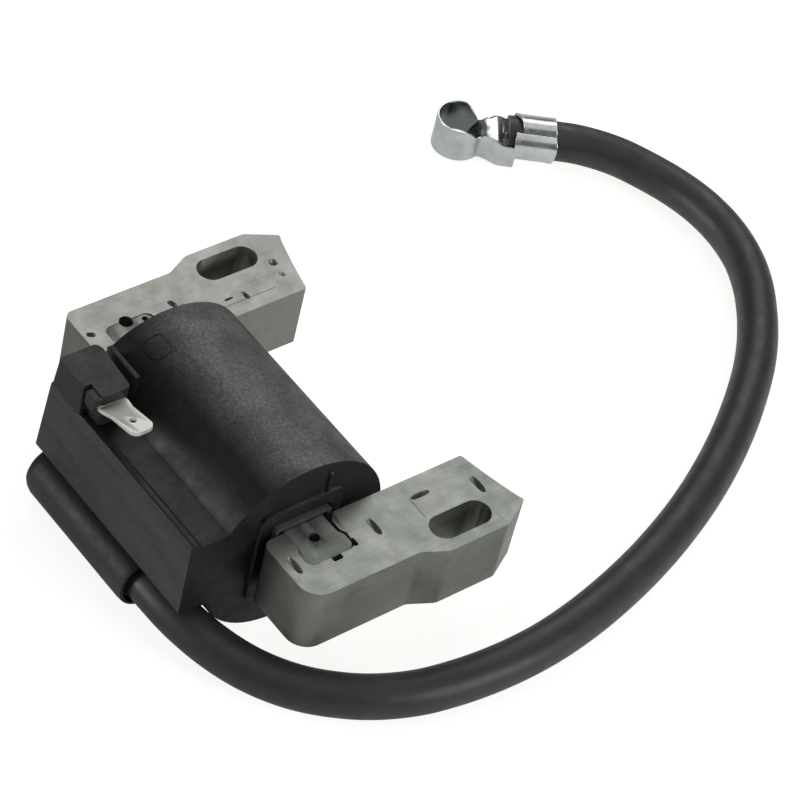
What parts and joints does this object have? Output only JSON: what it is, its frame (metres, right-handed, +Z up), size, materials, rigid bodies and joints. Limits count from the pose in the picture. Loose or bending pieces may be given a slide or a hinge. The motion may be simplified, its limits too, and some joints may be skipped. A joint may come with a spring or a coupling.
{
  "type": "magneto ignition coil",
  "caption": "Small-engine ignition coil: potted winding on a laminated steel yoke with slotted legs, kill tab, rubber high-tension lead and plug clip.",
  "frame": {"origin": "bottom centre of the box round the coil without its lead, strands and clip; the round case stands on z = 0", "axes": "+X along the coil's axis from the far lamination leg to the near one; +Y along the legs towards the pole faces that sweep the flywheel; +Z up, out of the legs' screw-head faces"},
  "size_m": [0.1067, 0.1453, 0.0326],
  "materials": {
    "leg_near": "satin laminated electrical steel",
    "leg_far": "satin laminated electrical steel",
    "core_bar": "satin laminated electrical steel",
    "coil_case": "moulded glass-filled nylon, matte",
    "potting_resin_face": "cast epoxy, slightly glossy",
    "terminal_holder": "moulded nylon, matte",
    "kill_terminal": "tinned",
    "primary_bobbin": "moulded nylon",
    "primary_winding": "enamelled copper wire, wound and impregnated",
    "insulation_sleeve": "polyester film",
    "secondary_bobbin": "moulded polyester",
    "secondary_winding": "fine enamelled copper wire, impregnated",
    "module_board": "glass-epoxy laminate",
    "power_switch": "moulded epoxy",
    "driver_chip": "moulded epoxy",
    "timing_capacitor": "dipped film",
    "bias_resistor": "lacquered",
    "clamp_diode": "moulded epoxy",
    "primary_start_wire": "enamelled copper",
    "primary_end_wire": "enamelled copper",
    "ground_wire": "tinned copper",
    "ht_link_wire": "copper",
    "kill_link_wire": "copper",
    "ht_contact": "turned brass",
    "lead_seal": "matte rubber",
    "ht_lead": "matte black jacket",
    "lead_strands": "tinned copper strands",
    "plug_clip": "bright plated spring steel sheet"
  },
  "bodies": {
    "root": {"leg_near": "leg_near", "leg_far": "leg_far", "core_bar": "core_bar", "coil_case": "coil_case", "potting_resin_face": "potting_resin_face", "terminal_holder": "terminal_holder", "kill_terminal": "kill_terminal", "primary_bobbin": "primary_bobbin", "primary_winding": "primary_winding", "insulation_sleeve": "insulation_sleeve", "secondary_bobbin": "secondary_bobbin", "secondary_winding": "secondary_winding", "module_board": "module_board", "power_switch": "power_switch", "driver_chip": "driver_chip", "timing_capacitor": "timing_capacitor", "bias_resistor": "bias_resistor", "clamp_diode": "clamp_diode", "primary_start_wire": "primary_start_wire", "primary_end_wire": "primary_end_wire", "ground_wire": "ground_wire", "ht_link_wire": "ht_link_wire", "kill_link_wire": "kill_link_wire", "ht_contact": "ht_contact", "lead_seal": "lead_seal", "ht_lead": "ht_lead", "lead_strands": "lead_strands", "plug_clip": "plug_clip"}
  },
  "joints": []
}
